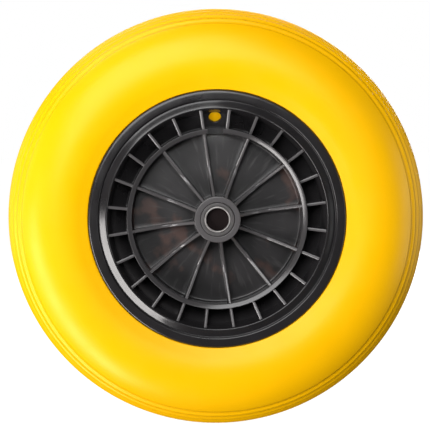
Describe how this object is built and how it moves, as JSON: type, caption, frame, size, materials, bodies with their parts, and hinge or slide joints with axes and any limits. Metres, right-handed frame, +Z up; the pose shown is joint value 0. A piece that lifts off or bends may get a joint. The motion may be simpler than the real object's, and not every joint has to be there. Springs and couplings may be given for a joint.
{
  "type": "wheel",
  "caption": "Flat-free foam wheel for a drum dolly or hand truck: ribbed plastic rim, ribbed tread, and a roller bearing on a steel axle sleeve.",
  "frame": {"origin": "the wheel's centre, on the axle line, half way between the two hub faces", "axes": "+Y along the axle, away from the valve side; +Z up, towards the valve hole at rest; the valve side faces -Y"},
  "size_m": [0.3898, 0.09, 0.3898],
  "materials": {
    "foam": "satin integral skin of yellow polyurethane foam",
    "rim_plastic": "semi-gloss moulded black plastic",
    "nylon": "satin black nylon",
    "steel": "bright turned steel"
  },
  "bodies": {
    "axle": {"axle_sleeve": "steel"},
    "wheel": {"tyre": "foam", "rim_front": "rim_plastic", "rim_back": "rim_plastic", "bearing_shell": "steel", "dust_ring_front": "nylon", "dust_ring_back": "nylon"},
    "cage": {"roller_cage": "nylon"},
    "roller_01": {"roller_01": "steel"},
    "roller_02": {"roller_02": "steel"},
    "roller_03": {"roller_03": "steel"},
    "roller_04": {"roller_04": "steel"},
    "roller_05": {"roller_05": "steel"},
    "roller_06": {"roller_06": "steel"},
    "roller_07": {"roller_07": "steel"},
    "roller_08": {"roller_08": "steel"},
    "roller_09": {"roller_09": "steel"},
    "roller_10": {"roller_10": "steel"},
    "roller_11": {"roller_11": "steel"},
    "roller_12": {"roller_12": "steel"}
  },
  "joints": [
    {"name": "wheel_spin", "type": "hinge", "parent": "axle", "child": "wheel", "pos_m": [0, 0, 0], "axis": [0, 1, 0], "continuous": true},
    {"name": "cage_spin", "type": "hinge", "parent": "axle", "child": "cage", "pos_m": [0, 0, 0], "axis": [0, 1, 0], "continuous": true},
    {"name": "roller_01_spin", "type": "hinge", "parent": "cage", "child": "roller_01", "pos_m": [0, 0, 0.0134], "axis": [0, 1, 0], "continuous": true},
    {"name": "roller_02_spin", "type": "hinge", "parent": "cage", "child": "roller_02", "pos_m": [0.0067, 0, 0.01161], "axis": [0, 1, 0], "continuous": true},
    {"name": "roller_03_spin", "type": "hinge", "parent": "cage", "child": "roller_03", "pos_m": [0.01161, 0, 0.0067], "axis": [0, 1, 0], "continuous": true},
    {"name": "roller_04_spin", "type": "hinge", "parent": "cage", "child": "roller_04", "pos_m": [0.0134, 0, 0], "axis": [0, 1, 0], "continuous": true},
    {"name": "roller_05_spin", "type": "hinge", "parent": "cage", "child": "roller_05", "pos_m": [0.01161, 0, -0.0067], "axis": [0, 1, 0], "continuous": true},
    {"name": "roller_06_spin", "type": "hinge", "parent": "cage", "child": "roller_06", "pos_m": [0.0067, 0, -0.01161], "axis": [0, 1, 0], "continuous": true},
    {"name": "roller_07_spin", "type": "hinge", "parent": "cage", "child": "roller_07", "pos_m": [0, 0, -0.0134], "axis": [0, 1, 0], "continuous": true},
    {"name": "roller_08_spin", "type": "hinge", "parent": "cage", "child": "roller_08", "pos_m": [-0.0067, 0, -0.01161], "axis": [0, 1, 0], "continuous": true},
    {"name": "roller_09_spin", "type": "hinge", "parent": "cage", "child": "roller_09", "pos_m": [-0.01161, 0, -0.0067], "axis": [0, 1, 0], "continuous": true},
    {"name": "roller_10_spin", "type": "hinge", "parent": "cage", "child": "roller_10", "pos_m": [-0.0134, 0, 0], "axis": [0, 1, 0], "continuous": true},
    {"name": "roller_11_spin", "type": "hinge", "parent": "cage", "child": "roller_11", "pos_m": [-0.01161, 0, 0.0067], "axis": [0, 1, 0], "continuous": true},
    {"name": "roller_12_spin", "type": "hinge", "parent": "cage", "child": "roller_12", "pos_m": [-0.0067, 0, 0.01161], "axis": [0, 1, 0], "continuous": true}
  ],
  "couplings": [
    {"joint": "cage_spin", "follows": "wheel_spin", "ratio": 0.55224},
    {"joint": "roller_01_spin", "follows": "wheel_spin", "ratio": 4.7335},
    {"joint": "roller_02_spin", "follows": "wheel_spin", "ratio": 4.7335},
    {"joint": "roller_03_spin", "follows": "wheel_spin", "ratio": 4.7335},
    {"joint": "roller_04_spin", "follows": "wheel_spin", "ratio": 4.7335},
    {"joint": "roller_05_spin", "follows": "wheel_spin", "ratio": 4.7335},
    {"joint": "roller_06_spin", "follows": "wheel_spin", "ratio": 4.7335},
    {"joint": "roller_07_spin", "follows": "wheel_spin", "ratio": 4.7335},
    {"joint": "roller_08_spin", "follows": "wheel_spin", "ratio": 4.7335},
    {"joint": "roller_09_spin", "follows": "wheel_spin", "ratio": 4.7335},
    {"joint": "roller_10_spin", "follows": "wheel_spin", "ratio": 4.7335},
    {"joint": "roller_11_spin", "follows": "wheel_spin", "ratio": 4.7335},
    {"joint": "roller_12_spin", "follows": "wheel_spin", "ratio": 4.7335}
  ]
}
